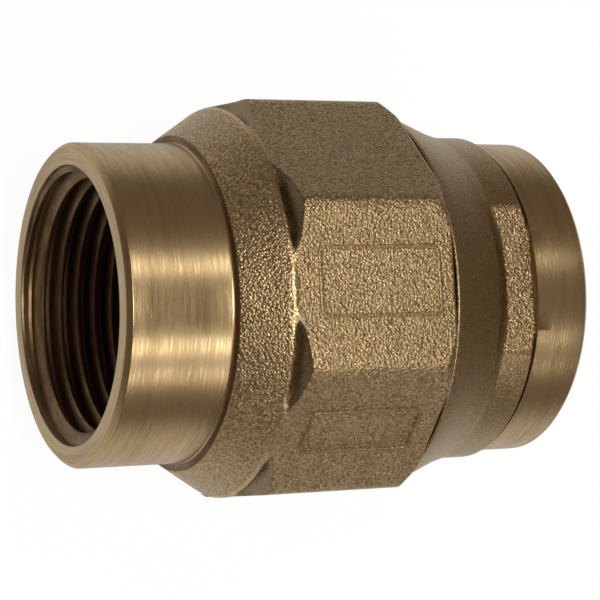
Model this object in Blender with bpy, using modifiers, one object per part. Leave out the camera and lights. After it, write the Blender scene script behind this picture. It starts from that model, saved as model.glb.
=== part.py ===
"""Spring check valve with two threaded pipe sockets, at real size.

The pieces are modelled with the valve axis along Z, under one empty that lays the axis down along world X.
The outlet mouth then faces -X and the inlet mouth +X, with the origin halfway between them on the axis.
Every station below is measured along the axis from the outlet mouth.
"""
import math

import bmesh
import bpy
from mathutils import Matrix, Vector

MM = 0.001

# Clearance kept between pieces that touch, and around the stem where it slides
GAP = 0.3 * MM
RUNNING_GAP = 0.2 * MM

# Overall size and the turned collars at both mouths
LENGTH = 60.4 * MM
COLLAR_RADIUS = 19.5 * MM
COLLAR_CHAMFER = 0.6 * MM

# One inch pipe sockets: thread between crests and roots, countersunk mouths, plain throat behind the turns
SOCKET_RADIUS = 15.15 * MM
THREAD_ROOT_RADIUS = 16.62 * MM
THREAD_PITCH = 2.309 * MM
THREAD_FLAT = 0.385 * MM
THREAD_LENGTH = 15.2 * MM
THREAD_RUN_OUT = 1.6 * MM
COUNTERSINK_RADIUS = 17.4 * MM
THROAT_RADIUS = 15.0 * MM
INLET_SOCKET_DEPTH = 16.0 * MM

# Body: collar, conical shoulder with a round rim, octagonal barrel
COLLAR_LENGTH = 13.25 * MM
RIM_STATION = 18.4 * MM
RIM_RADIUS = 23.75 * MM
RIM_ROUNDING = 2.0 * MM
OCTAGON_ACROSS_FLATS = 47.7 * MM
OCTAGON_START = 20.4 * MM
BODY_END = 39.35 * MM
BODY_END_RADIUS = 24.4 * MM
BODY_END_CHAMFER_SLOPE = 1.33
CHAMBER_RADIUS = 19.8 * MM
CHAMBER_START = 17.5 * MM
CAP_BORE_RADIUS = 20.3 * MM
CAP_BORE_START = 31.0 * MM

# End cap: spigot with the seat, neck, wrench flats
CAP_NOSE = 33.2 * MM
SEAT_FACE = 32.6 * MM
SEAT_RADIUS = 12.2 * MM
SEAT_LIP_RADIUS = 13.6 * MM
NOSE_CHAMFER = 0.6 * MM
FLANGE_RADIUS = 23.6 * MM
NECK_MIDDLE = (22.8 * MM, 43.7 * MM)
NECK_END = (21.2 * MM, 47.2 * MM)
NECK_STEP = 2.15 * MM
WRENCH_ROUND_RADIUS = 20.5 * MM
WRENCH_ACROSS_FLATS = 36.8 * MM
WRENCH_START = 46.0 * MM
WRENCH_END = 53.1 * MM
WRENCH_CHAMFER = 0.6 * MM
WRENCH_ROOT = 17.0 * MM
CAP_TURN = math.radians(-1.7)

# Joint ring in its recess under the cap's flange
RECESS_RADIUS = 22.5 * MM
RECESS_DEPTH = 1.35 * MM

# Stem guide: ring on the body's shoulder, hub, sloping arms
GUIDE_RING_INNER = 15.4 * MM
GUIDE_RING_OUTER = 19.4 * MM
GUIDE_RING_END = 21.3 * MM
HUB_START = 10.2 * MM
HUB_END = 14.0 * MM
HUB_RADIUS = 6.0 * MM
HUB_BORE = 4.5 * MM
HUB_FLANGE_RADIUS = 7.0 * MM
HUB_FLANGE_START = 12.6 * MM
ARM_COUNT = 3
ARM_WIDTH = 3.6 * MM
ARM_THICKNESS = 1.8 * MM
ARM_INNER = (5.2 * MM, 12.1 * MM)
ARM_OUTER = (16.4 * MM, 20.0 * MM)

# Flanged bush in the hub
BUSH_FLANGE_RADIUS = 5.4 * MM
BUSH_FLANGE_START = 9.2 * MM

# Poppet: stem with collar, disc with its rubber ring, retainer, washer, nut
STEM_RADIUS = 3.0 * MM
STEM_START = 8.8 * MM
STEM_END = 39.6 * MM
STEM_CHAMFER = 0.5 * MM
STEM_COLLAR_RADIUS = 4.6 * MM
STEM_COLLAR_LENGTH = 1.7 * MM
DISC_BACK = 27.6 * MM
DISC_THICKNESS = 2.4 * MM
DISC_RADIUS = 16.0 * MM
DISC_LIP_WIDTH = 1.0 * MM
DISC_LIP_HEIGHT = 1.4 * MM
DISC_EDGE = 0.6 * MM
SEAL_THICKNESS = 2.0 * MM
RETAINER_RADIUS = 10.8 * MM
RETAINER_THICKNESS = 1.4 * MM
RETAINER_EDGE = 0.4 * MM
WASHER_RADIUS = 5.4 * MM
WASHER_THICKNESS = 1.0 * MM
NUT_ACROSS_FLATS = 10.0 * MM
NUT_THICKNESS = 3.4 * MM

# Closing spring
WIRE_DIAMETER = 0.9 * MM
SPRING_RADIUS = 5.6 * MM
SPRING_TURNS = 5.5
SPRING_END_TURNS = 1.0
SPRING_END_PITCH = 1.4 * MM
SPRING_POINTS_PER_TURN = 10

# Facets round a turned shape
SEGMENTS = 64
POPPET_SEGMENTS = 48
SMALL_SEGMENTS = 32
THREAD_SEGMENTS = 40

# How far a cutter runs past what it cuts, and how deep a blank sits in what it joins
OVERRUN = 2.0 * MM
EMBED = 5.0 * MM

# Points nearer than this are one point
MERGE_DISTANCE = 0.001 * MM

BRASS = (0.46, 0.32, 0.17)
CAST_BRASS = (0.40, 0.29, 0.16)


def empty_scene():
    """Remove every object of the scene."""
    for scene_object in list(bpy.data.objects):
        bpy.data.objects.remove(scene_object, do_unlink=True)


def new_collection(name):
    """Make a collection under the scene."""
    collection = bpy.data.collections.new(name)
    bpy.context.scene.collection.children.link(collection)
    return collection


def new_empty(name, collection, parent=None):
    """Make an empty that carries other objects."""
    empty = bpy.data.objects.new(name, None)
    empty.empty_display_size = 0.02
    empty.parent = parent
    collection.objects.link(empty)
    return empty


def new_material(name, colour, roughness, metallic):
    """Make a Principled material of one colour."""
    material = bpy.data.materials.new(name)
    material.use_nodes = True
    shader = material.node_tree.nodes["Principled BSDF"]
    shader.inputs["Base Color"].default_value = (*colour, 1.0)
    shader.inputs["Roughness"].default_value = roughness
    shader.inputs["Metallic"].default_value = metallic
    return material


def height(station):
    """Turn a station from the outlet mouth into a height along the valve axis."""
    return station - LENGTH / 2


def place(name, mesh, collection, parent):
    """Make an object from a mesh."""
    new_object = bpy.data.objects.new(name, mesh)
    new_object.parent = parent
    collection.objects.link(new_object)
    return new_object


def as_cutter(cutter):
    """Mark an object as one that only shapes others."""
    cutter.hide_render = True
    cutter.display_type = "WIRE"
    return cutter


def turned(name, outline, collection, parent, closed=True, segments=SEGMENTS):
    """Turn an outline of (radius, station) points, which runs down its outer side, about the axis."""
    mesh = bpy.data.meshes.new(name)
    points = [(radius, 0.0, height(station)) for radius, station in outline]
    edges = [(index, index + 1) for index in range(len(points) - 1)]
    if closed:
        edges.append((len(points) - 1, 0))
    mesh.from_pydata(points, edges, [])
    new_object = place(name, mesh, collection, parent)
    screw = new_object.modifiers.new("Turn", "SCREW")
    screw.axis = "Z"
    screw.angle = math.tau
    screw.steps = segments
    screw.render_steps = segments
    screw.use_merge_vertices = True
    screw.merge_threshold = 0.00001
    return new_object


def prism(name, across_flats, sides, start, end, collection, parent):
    """Make an upright prism whose flats face the X axis, between two stations."""
    mesh = bpy.data.meshes.new(name)
    shape = bmesh.new()
    corner_radius = across_flats / 2 / math.cos(math.pi / sides)
    bmesh.ops.create_cone(
        shape, cap_ends=True, segments=sides, radius1=corner_radius, radius2=corner_radius, depth=end - start)
    turn = Matrix.Rotation(math.pi / sides, 4, "Z")
    lift = Matrix.Translation((0.0, 0.0, height((start + end) / 2)))
    bmesh.ops.transform(shape, matrix=lift @ turn, verts=shape.verts)
    shape.to_mesh(mesh)
    shape.free()
    return place(name, mesh, collection, parent)


def block(name, size, matrix, collection, parent):
    """Make a box of the given size, set by a matrix."""
    mesh = bpy.data.meshes.new(name)
    shape = bmesh.new()
    bmesh.ops.create_cube(shape, size=1.0, matrix=matrix @ Matrix.Diagonal((*size, 1.0)))
    shape.to_mesh(mesh)
    shape.free()
    return place(name, mesh, collection, parent)


def thread_column(mouth, low, high):
    """Points of (radius, station) along a thread, with a root at the mouth, past both ends of a stretch."""
    points = []
    first_turn = math.floor((low - mouth) / THREAD_PITCH) - 2
    last_turn = math.ceil((high - mouth) / THREAD_PITCH) + 1
    for turn in range(first_turn, last_turn + 1):
        root = mouth + turn * THREAD_PITCH
        for radius, middle in ((THREAD_ROOT_RADIUS, root), (SOCKET_RADIUS, root + THREAD_PITCH / 2)):
            points.extend((radius, middle + side * THREAD_FLAT / 2) for side in (-1, 1))
    return points


def tap(name, mouth, bottom, collection, parent):
    """Make a tap for a right-hand thread, whose turns fade out at the bottom and outside the mouth."""
    outside = mouth + math.copysign(OVERRUN, mouth - bottom)
    low, high = min(bottom, outside), max(bottom, outside)
    shape = bmesh.new()
    column = [shape.verts.new((-radius, 0.0, height(station)))
              for radius, station in thread_column(mouth, low, high)]
    edges = [shape.edges.new(pair) for pair in zip(column, column[1:])]
    bmesh.ops.spin(
        shape, geom=column + edges, cent=(0.0, 0.0, 0.0), axis=(0.0, 0.0, 1.0), angle=math.tau,
        dvec=(0.0, 0.0, THREAD_PITCH / THREAD_SEGMENTS), steps=THREAD_SEGMENTS)
    for vert in shape.verts:
        vert.co.z = min(max(vert.co.z, height(low)), height(high))
        radius = vert.co.xy.length
        fade = min(vert.co.z - height(low), height(high) - vert.co.z, THREAD_RUN_OUT) / THREAD_RUN_OUT
        vert.co.xy *= (SOCKET_RADIUS + (radius - SOCKET_RADIUS) * fade) / radius
    bmesh.ops.remove_doubles(shape, verts=shape.verts, dist=MERGE_DISTANCE)
    bmesh.ops.holes_fill(shape, edges=[edge for edge in shape.edges if edge.is_boundary])
    bmesh.ops.recalc_face_normals(shape, faces=shape.faces)
    mesh = bpy.data.meshes.new(name)
    shape.to_mesh(mesh)
    shape.free()
    return place(name, mesh, collection, parent)


def combine(target, other, operation):
    """Add a Boolean modifier to an object."""
    modifier = target.modifiers.new(f"{operation.title()} {other.name}", "BOOLEAN")
    modifier.operation = operation
    modifier.solver = "EXACT"
    modifier.object = as_cutter(other)


def rounded(before, corner, after, radius, steps):
    """Replace a corner of an outline by points on an arc of the given radius."""
    corner = Vector(corner)
    to_before = (Vector(before) - corner).normalized()
    to_after = (Vector(after) - corner).normalized()
    half_angle = to_before.angle(to_after) / 2
    middle = (to_before + to_after).normalized()
    centre = corner + middle * (radius / math.sin(half_angle))
    first = corner + to_before * (radius / math.tan(half_angle)) - centre
    last = corner + to_after * (radius / math.tan(half_angle)) - centre
    return [tuple(centre + radius * first.slerp(last, step / steps)) for step in range(steps + 1)]


def ring(name, inner, outer, start, end, collection, parent, segments=SEGMENTS):
    """Turn a plain ring."""
    outline = [(outer, end), (outer, start), (inner, start), (inner, end)]
    return turned(name, outline, collection, parent, segments=segments)


def make_body(parts, cutters, parent):
    """Cast body: octagonal barrel joined to the turned shoulder and collar, bored through."""
    body = prism("valve_body", OCTAGON_ACROSS_FLATS, 8, OCTAGON_START, BODY_END + OVERRUN, parts, parent)

    envelope_radius = OCTAGON_ACROSS_FLATS / 2 / math.cos(math.pi / 8) + OVERRUN
    chamfer_length = (envelope_radius - BODY_END_RADIUS) * BODY_END_CHAMFER_SLOPE
    envelope = turned("barrel_envelope", [
        (0.0, BODY_END),
        (BODY_END_RADIUS, BODY_END),
        (envelope_radius, BODY_END - chamfer_length),
        (envelope_radius, OCTAGON_START - OVERRUN),
        (0.0, OCTAGON_START - OVERRUN),
    ], cutters, parent, closed=False)
    combine(body, envelope, "INTERSECT")

    core_end = BODY_END - EMBED
    core_radius = SOCKET_RADIUS - EMBED
    cone_start = (COLLAR_RADIUS, COLLAR_LENGTH)
    rim = (RIM_RADIUS, RIM_STATION)
    shoulder = turned("shoulder_blank", [
        (RIM_RADIUS, core_end),
        *rounded((RIM_RADIUS, core_end), rim, cone_start, RIM_ROUNDING, 4),
        cone_start,
        (COLLAR_RADIUS, COLLAR_CHAMFER),
        (COLLAR_RADIUS - COLLAR_CHAMFER, 0.0),
        (core_radius, 0.0),
        (core_radius, core_end),
    ], cutters, parent)
    combine(body, shoulder, "UNION")

    countersink_depth = COUNTERSINK_RADIUS - THROAT_RADIUS
    bore = turned("body_bore", [
        (0.0, BODY_END + OVERRUN),
        (CAP_BORE_RADIUS, BODY_END + OVERRUN),
        (CAP_BORE_RADIUS, CAP_BORE_START),
        (CHAMBER_RADIUS, CAP_BORE_START - CAP_BORE_RADIUS + CHAMBER_RADIUS),
        (CHAMBER_RADIUS, CHAMBER_START),
        (THROAT_RADIUS, CHAMBER_START),
        (THROAT_RADIUS, countersink_depth),
        (COUNTERSINK_RADIUS + OVERRUN, -OVERRUN),
        (0.0, -OVERRUN),
    ], cutters, parent, closed=False)
    combine(body, bore, "DIFFERENCE")
    combine(body, tap("outlet_tap", 0.0, THREAD_LENGTH, cutters, parent), "DIFFERENCE")
    return body


def make_cap(parts, cutters, parent):
    """End cap: turned spigot, neck and collar, with a band that carries two wrench flats."""
    spigot_radius = CAP_BORE_RADIUS - GAP
    flange_start = BODY_END + GAP
    recess_end = flange_start + RECESS_DEPTH
    root_radius = WRENCH_ACROSS_FLATS / 2 - RUNNING_GAP
    socket_bottom = LENGTH - INLET_SOCKET_DEPTH
    cap = turned("end_cap", [
        (COLLAR_RADIUS - COLLAR_CHAMFER, LENGTH),
        (COLLAR_RADIUS, LENGTH - COLLAR_CHAMFER),
        (COLLAR_RADIUS, WRENCH_END),
        (root_radius, WRENCH_END),
        (root_radius, NECK_END[1] + NECK_STEP),
        NECK_END,
        NECK_MIDDLE,
        (FLANGE_RADIUS, flange_start),
        (RECESS_RADIUS, flange_start),
        (RECESS_RADIUS, recess_end),
        (spigot_radius, recess_end),
        (spigot_radius, CAP_NOSE + NOSE_CHAMFER),
        (spigot_radius - NOSE_CHAMFER, CAP_NOSE),
        (SEAT_LIP_RADIUS, CAP_NOSE),
        (SEAT_LIP_RADIUS, SEAT_FACE),
        (SEAT_RADIUS, SEAT_FACE),
        (SEAT_RADIUS, socket_bottom),
        (THROAT_RADIUS, socket_bottom),
        (THROAT_RADIUS, LENGTH - COUNTERSINK_RADIUS + THROAT_RADIUS),
        (COUNTERSINK_RADIUS, LENGTH),
    ], parts, parent)

    band = turned("wrench_band", [
        (WRENCH_ROUND_RADIUS, WRENCH_END - WRENCH_CHAMFER),
        (WRENCH_ROUND_RADIUS, WRENCH_START),
        (WRENCH_ROOT, WRENCH_START),
        (WRENCH_ROOT, WRENCH_END + WRENCH_CHAMFER),
        (WRENCH_ROUND_RADIUS - 2 * WRENCH_CHAMFER - GAP, WRENCH_END + WRENCH_CHAMFER),
    ], cutters, parent)
    turn = Matrix.Rotation(CAP_TURN, 4, "Z")
    size = (2 * EMBED, LENGTH, WRENCH_END - WRENCH_START + 2 * EMBED)
    for name, side in (("upper", -1), ("lower", 1)):
        offset = side * (WRENCH_ACROSS_FLATS + size[0]) / 2
        matrix = turn @ Matrix.Translation((offset, 0.0, height((WRENCH_START + WRENCH_END) / 2)))
        combine(band, block(f"{name}_wrench_flat", size, matrix, cutters, parent), "DIFFERENCE")
    combine(cap, band, "UNION")
    combine(cap, tap("inlet_tap", LENGTH, LENGTH - THREAD_LENGTH, cutters, parent), "DIFFERENCE")
    return cap


def make_gasket(parts, parent):
    """Flat joint ring in the recess under the cap's flange."""
    inner = CAP_BORE_RADIUS
    start = BODY_END + GAP
    end = start + RECESS_DEPTH - GAP
    return ring("body_gasket", inner, RECESS_RADIUS - GAP, start, end, parts, parent)


def make_guide(parts, cutters, parent):
    """Stem guide: ring, hub with a spring seat, and sloping arms between them."""
    ring_start = CHAMBER_START + GAP
    guide = ring("stem_guide", GUIDE_RING_INNER, GUIDE_RING_OUTER, ring_start, GUIDE_RING_END, parts, parent)
    span = Vector((ARM_OUTER[0] - ARM_INNER[0], 0.0, ARM_OUTER[1] - ARM_INNER[1]))
    middle = Vector(((ARM_OUTER[0] + ARM_INNER[0]) / 2, 0.0, height((ARM_OUTER[1] + ARM_INNER[1]) / 2)))
    slope = Matrix.Rotation(-math.atan2(span.z, span.x), 4, "Y")
    for index in range(ARM_COUNT):
        turn = Matrix.Rotation(math.tau * index / ARM_COUNT + math.pi, 4, "Z")
        matrix = turn @ Matrix.Translation(middle) @ slope
        size = (span.length, ARM_WIDTH, ARM_THICKNESS)
        arm = block(f"guide_arm_{index}", size, matrix, cutters, parent)
        combine(guide, arm, "UNION")
    hub = turned("guide_hub", [
        (HUB_FLANGE_RADIUS, HUB_END),
        (HUB_FLANGE_RADIUS, HUB_FLANGE_START),
        (HUB_RADIUS, HUB_FLANGE_START),
        (HUB_RADIUS, HUB_START),
        (STEM_RADIUS, HUB_START),
        (STEM_RADIUS, HUB_END),
    ], cutters, parent, segments=SMALL_SEGMENTS)
    combine(guide, hub, "UNION")
    bore = turned("guide_bore", [
        (0.0, HUB_END + OVERRUN),
        (HUB_BORE, HUB_END + OVERRUN),
        (HUB_BORE, HUB_START - OVERRUN),
        (0.0, HUB_START - OVERRUN),
    ], cutters, parent, closed=False, segments=SMALL_SEGMENTS)
    combine(guide, bore, "DIFFERENCE")
    return guide


def make_bush(parts, parent):
    """Flanged bush that lines the hub."""
    outer = HUB_BORE - GAP
    inner = STEM_RADIUS + RUNNING_GAP
    return turned("guide_bush", [
        (outer, HUB_END),
        (outer, HUB_START - GAP),
        (BUSH_FLANGE_RADIUS, HUB_START - GAP),
        (BUSH_FLANGE_RADIUS, BUSH_FLANGE_START),
        (inner, BUSH_FLANGE_START),
        (inner, HUB_END),
    ], parts, parent, segments=SMALL_SEGMENTS)


def spring_points():
    """Points along the spring wire: close end turns, open turns between, straight ends."""
    low = HUB_END + GAP + WIRE_DIAMETER / 2
    high = DISC_BACK - GAP - WIRE_DIAMETER / 2
    end_rise = SPRING_END_TURNS * SPRING_END_PITCH
    open_turns = SPRING_TURNS - 2 * SPRING_END_TURNS
    open_pitch = (high - low - 2 * end_rise) / open_turns
    points = []
    count = round(SPRING_TURNS * SPRING_POINTS_PER_TURN)
    for index in range(count + 1):
        turns = SPRING_TURNS * index / count
        first = min(turns, SPRING_END_TURNS)
        last = max(turns - SPRING_TURNS + SPRING_END_TURNS, 0.0)
        rise = (first + last) * SPRING_END_PITCH + (turns - first - last) * open_pitch
        turn = Matrix.Rotation(math.tau * turns, 3, "Z")
        points.append(turn @ Vector((SPRING_RADIUS, 0.0, height(low + rise))))
    start_way = (points[0] - points[1]).normalized()
    end_way = (points[-1] - points[-2]).normalized()
    start_way.z = end_way.z = 0.0
    return [points[0] + start_way * WIRE_DIAMETER, *points, points[-1] + end_way * WIRE_DIAMETER]


def least_gap(points):
    """Smallest clear distance between one turn of the wire and another."""
    samples = []
    for first, second in zip(points, points[1:]):
        samples.extend(first.lerp(second, step / 4) for step in range(4))
    apart = 4 * SPRING_POINTS_PER_TURN // 2
    distances = [
        (samples[late] - samples[early]).length
        for early in range(len(samples))
        for late in range(early + apart, len(samples))
    ]
    return min(distances) - WIRE_DIAMETER


def make_spring(parts, parent):
    """Closing spring: one unbroken wire wound as a helix."""
    points = spring_points()
    curve = bpy.data.curves.new("closing_spring", "CURVE")
    curve.dimensions = "3D"
    curve.bevel_depth = WIRE_DIAMETER / 2
    curve.bevel_resolution = 1
    curve.use_fill_caps = True
    spline = curve.splines.new("POLY")
    spline.points.add(len(points) - 1)
    for spline_point, point in zip(spline.points, points):
        spline_point.co = (*point, 1.0)
    print(f"closing_spring: least gap to itself {least_gap(points) / MM:.2f} mm")
    return place("closing_spring", curve, parts, parent)


def make_stem(parts, parent):
    """Stem with a collar that carries the disc and centres the spring."""
    collar_end = DISC_BACK - GAP
    collar_start = collar_end - STEM_COLLAR_LENGTH
    tip_radius = STEM_RADIUS - STEM_CHAMFER
    return turned("poppet_stem", [
        (0.0, STEM_END),
        (tip_radius, STEM_END),
        (STEM_RADIUS, STEM_END - STEM_CHAMFER),
        (STEM_RADIUS, collar_end),
        (STEM_COLLAR_RADIUS, collar_end),
        (STEM_COLLAR_RADIUS, collar_start),
        (STEM_RADIUS, collar_start),
        (STEM_RADIUS, STEM_START + STEM_CHAMFER),
        (tip_radius, STEM_START),
        (0.0, STEM_START),
    ], parts, parent, closed=False, segments=SMALL_SEGMENTS)


def make_poppet_stack(parts, cutters, parent):
    """Disc, rubber ring, retainer, washer and nut, in the order they slide on to the stem."""
    bore = STEM_RADIUS + GAP
    disc_front = DISC_BACK + DISC_THICKNESS
    lip_inner = DISC_RADIUS - DISC_LIP_WIDTH
    disc = turned("poppet_disc", [
        (DISC_RADIUS, disc_front + DISC_LIP_HEIGHT),
        (DISC_RADIUS, DISC_BACK + DISC_EDGE),
        (DISC_RADIUS - DISC_EDGE, DISC_BACK),
        (bore, DISC_BACK),
        (bore, disc_front),
        (lip_inner, disc_front),
        (lip_inner, disc_front + DISC_LIP_HEIGHT),
    ], parts, parent, segments=POPPET_SEGMENTS)

    seal_start = disc_front + GAP
    seal_end = seal_start + SEAL_THICKNESS
    seal = ring("disc_seal", bore, lip_inner - GAP, seal_start, seal_end, parts, parent, POPPET_SEGMENTS)

    retainer_start = seal_end + GAP
    retainer_end = retainer_start + RETAINER_THICKNESS
    retainer = turned("seal_retainer", [
        (RETAINER_RADIUS - RETAINER_EDGE, retainer_end),
        (RETAINER_RADIUS, retainer_end - RETAINER_EDGE),
        (RETAINER_RADIUS, retainer_start),
        (bore, retainer_start),
        (bore, retainer_end),
    ], parts, parent, segments=POPPET_SEGMENTS)

    washer_start = retainer_end + GAP
    washer_end = washer_start + WASHER_THICKNESS
    washer = ring("lock_washer", bore, WASHER_RADIUS, washer_start, washer_end, parts, parent, SMALL_SEGMENTS)

    nut_start = washer_end + GAP
    nut_end = nut_start + NUT_THICKNESS
    nut = prism("stem_nut", NUT_ACROSS_FLATS, 6, nut_start, nut_end, parts, parent)
    nut_bore = turned("nut_bore", [
        (0.0, nut_end + OVERRUN),
        (bore, nut_end + OVERRUN),
        (bore, nut_start - OVERRUN),
        (0.0, nut_start - OVERRUN),
    ], cutters, parent, closed=False, segments=SMALL_SEGMENTS)
    combine(nut, nut_bore, "DIFFERENCE")
    return disc, seal, retainer, washer, nut


def dress(piece, colour, roughness, metallic):
    """Give a piece its own material."""
    piece.data.materials.append(new_material(piece.name, colour, roughness, metallic))


def main():
    """Build the valve."""
    empty_scene()
    parts = new_collection("check_valve")
    cutters = new_collection("cutters")
    axis = new_empty("valve_axis", parts)
    axis.rotation_euler.y = math.pi / 2
    slide = new_empty("poppet_slide", parts, axis)

    dress(make_body(parts, cutters, axis), CAST_BRASS, 0.45, 1.0)
    dress(make_cap(parts, cutters, axis), BRASS, 0.4, 1.0)
    dress(make_gasket(parts, axis), (0.05, 0.05, 0.05), 0.7, 0.0)
    dress(make_guide(parts, cutters, axis), (0.70, 0.69, 0.64), 0.5, 0.0)
    dress(make_bush(parts, axis), (0.85, 0.85, 0.83), 0.4, 0.0)
    dress(make_spring(parts, axis), (0.55, 0.55, 0.56), 0.25, 1.0)
    dress(make_stem(parts, slide), BRASS, 0.3, 1.0)
    disc, seal, retainer, washer, nut = make_poppet_stack(parts, cutters, slide)
    dress(disc, BRASS, 0.35, 1.0)
    dress(seal, (0.03, 0.03, 0.03), 0.7, 0.0)
    dress(retainer, BRASS, 0.35, 1.0)
    dress(washer, (0.55, 0.55, 0.56), 0.3, 1.0)
    dress(nut, BRASS, 0.35, 1.0)


main()
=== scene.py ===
"""Looks of a brass spring check valve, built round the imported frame.

The valve axis runs along X, with the outlet mouth at -X and the octagon's wrench flats facing up and down.
A station is a distance along the axis from the outlet mouth. All sizes are in metres.
"""
import logging
import math
from collections.abc import Callable
from dataclasses import dataclass, field
from enum import Enum

import bmesh
import bpy
from mathutils import Matrix, Vector


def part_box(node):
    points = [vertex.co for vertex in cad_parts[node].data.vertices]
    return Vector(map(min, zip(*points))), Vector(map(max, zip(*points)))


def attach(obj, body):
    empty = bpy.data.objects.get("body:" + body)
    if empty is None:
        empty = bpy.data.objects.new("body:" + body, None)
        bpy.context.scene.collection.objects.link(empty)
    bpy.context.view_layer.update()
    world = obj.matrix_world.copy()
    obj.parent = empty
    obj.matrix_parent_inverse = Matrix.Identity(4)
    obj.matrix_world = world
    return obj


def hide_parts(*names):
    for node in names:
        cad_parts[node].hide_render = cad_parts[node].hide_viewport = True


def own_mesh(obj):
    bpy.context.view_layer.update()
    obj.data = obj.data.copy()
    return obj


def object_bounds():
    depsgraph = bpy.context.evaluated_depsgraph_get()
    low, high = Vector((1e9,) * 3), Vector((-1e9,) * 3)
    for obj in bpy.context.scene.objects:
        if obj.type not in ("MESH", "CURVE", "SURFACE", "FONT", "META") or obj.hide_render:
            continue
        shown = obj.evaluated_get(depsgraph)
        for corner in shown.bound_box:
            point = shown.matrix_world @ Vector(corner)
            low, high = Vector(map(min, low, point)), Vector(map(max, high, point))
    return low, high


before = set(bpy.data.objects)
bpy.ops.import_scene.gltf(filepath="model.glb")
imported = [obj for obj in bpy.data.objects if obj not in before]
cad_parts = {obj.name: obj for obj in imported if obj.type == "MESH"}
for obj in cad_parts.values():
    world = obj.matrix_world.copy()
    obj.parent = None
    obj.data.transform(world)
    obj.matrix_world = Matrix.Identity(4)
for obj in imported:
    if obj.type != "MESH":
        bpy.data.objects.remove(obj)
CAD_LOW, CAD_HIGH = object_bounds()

LOG = logging.getLogger("check_valve")
MM = 0.001
WELD = 0.001 * MM
SECTOR = math.tau / 8.0
HOUSING = "housing"

Corner = tuple[float, float, float]
Point = tuple[float, float]
Colour = tuple[float, float, float, float]
Socket = bpy.types.NodeSocket
Material = bpy.types.Material


class Slot(Enum):
    """Material slots of the record."""

    CAST = "cast_brass"
    CAP = "cap_brass"
    STEEL = "spring_steel"


class Zone(Enum):
    """Finishes on one brass piece, in the order of its material slots."""

    CAST = 0
    TURNED = 1
    SHADED_BORE = 2
    NECK = 3
    WORN_HIGHLIGHT = 4
    SHADED_POCKET = 5


def along(station: float) -> float:
    """Turn a station from the outlet mouth into an X coordinate."""
    return CAD_LOW.x + station


def ramp(value: float, low: float, high: float) -> float:
    """Rise smoothly from 0 at low to 1 at high."""
    share = min(max((value - low) / (high - low), 0.0), 1.0)
    return share * share * (3.0 - 2.0 * share)


def soft_max(first: float, second: float, blend: float) -> float:
    """Take the larger of two values, with a fillet of the given size where they meet."""
    share = max(blend - abs(first - second), 0.0) / blend
    return max(first, second) + share * share * blend / 4.0


def soft_min(first: float, second: float, blend: float) -> float:
    """Take the smaller of two values, with a fillet of the given size where they meet."""
    return -soft_max(-first, -second, blend)


def rounded_outline(corners: list[Corner], steps: int = 4) -> list[Point]:
    """Round the corners of a closed section.

    Args:
        corners: Station, radius and rounding of each corner in turn.
        steps: Segments of each arc.

    Returns:
        Stations and radii along the section.
    """
    points: list[Point] = []
    count = len(corners)
    for index, (station, radius, rounding) in enumerate(corners):
        here = Vector((station, radius))
        if rounding <= 0.0:
            points.append((station, radius))
            continue
        back = (Vector(corners[index - 1][:2]) - here).normalized()
        onward = (Vector(corners[(index + 1) % count][:2]) - here).normalized()
        half = back.angle(onward) / 2.0
        centre = here + (back + onward).normalized() * (rounding / math.sin(half))
        first = here + back * (rounding / math.tan(half)) - centre
        last = here + onward * (rounding / math.tan(half)) - centre
        for step in range(steps + 1):
            point = centre + rounding * first.slerp(last, step / steps)
            points.append((point.x, point.y))
    return points


def refined(points: list[Point], spacing: Callable[[float, float], float], least: float = 0.4) -> list[Point]:
    """Add points to the long runs of a closed section.

    Args:
        points: Stations and radii along the section.
        spacing: Longest run allowed at a station and radius.
        least: Shortest last run, as a share of the spacing there.

    Returns:
        The section with the points added.
    """
    result: list[Point] = []
    for index, corner in enumerate(points):
        start = Vector(corner)
        end = Vector(points[(index + 1) % len(points)])
        length = (end - start).length
        result.append(corner)
        step = spacing(*corner)
        gone = step
        while gone < length - least * step:
            point = start.lerp(end, gone / length)
            result.append((point.x, point.y))
            step = spacing(point.x, point.y)
            gone += step
    return result


def loop_of(shape: bmesh.types.BMesh, points: list[Point]) -> list[bmesh.types.BMVert | bmesh.types.BMEdge]:
    """Draw a closed section above the valve axis.

    Args:
        shape: The mesh that it is drawn in.
        points: Stations and radii along the section.

    Returns:
        Its vertices and edges.
    """
    verts = [shape.verts.new((along(station), 0.0, radius)) for station, radius in points]
    return verts + [shape.edges.new((verts[index - 1], vert)) for index, vert in enumerate(verts)]


def spun(points: list[Point], steps: int) -> bmesh.types.BMesh:
    """Spin a closed section about the valve axis into a closed solid.

    Args:
        points: Stations and radii along the section.
        steps: Facets round the axis.

    Returns:
        The solid, with its faces pointing out.
    """
    shape = bmesh.new()
    bmesh.ops.spin(
        shape, geom=loop_of(shape, points), cent=(0.0, 0.0, 0.0), axis=(1.0, 0.0, 0.0), angle=math.tau,
        steps=steps, use_merge=True)
    bmesh.ops.remove_doubles(shape, verts=shape.verts, dist=WELD)
    bmesh.ops.recalc_face_normals(shape, faces=shape.faces)
    return shape


def polar(position: Vector) -> tuple[float, float, float]:
    """Give the station, the radius and the angle from the top of a point."""
    return position.x - CAD_LOW.x, math.hypot(position.y, position.z), math.atan2(position.y, position.z)


def set_polar(vert: bmesh.types.BMVert, radius: float, angle: float) -> None:
    """Move a vertex to a radius and an angle from the top, at its own station."""
    vert.co.y = radius * math.sin(angle)
    vert.co.z = radius * math.cos(angle)


def assign_zones(shape: bmesh.types.BMesh, zone: Callable[[float, float, Vector], Zone]) -> None:
    """Give every face the material of its zone.

    Args:
        shape: The modelled mesh.
        zone: Tells the zone at a station and radius with a normal.
    """
    shape.normal_update()
    for face in shape.faces:
        station, radius, _ = polar(face.calc_center_median())
        face.material_index = zone(station, radius, face.normal).value


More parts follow.
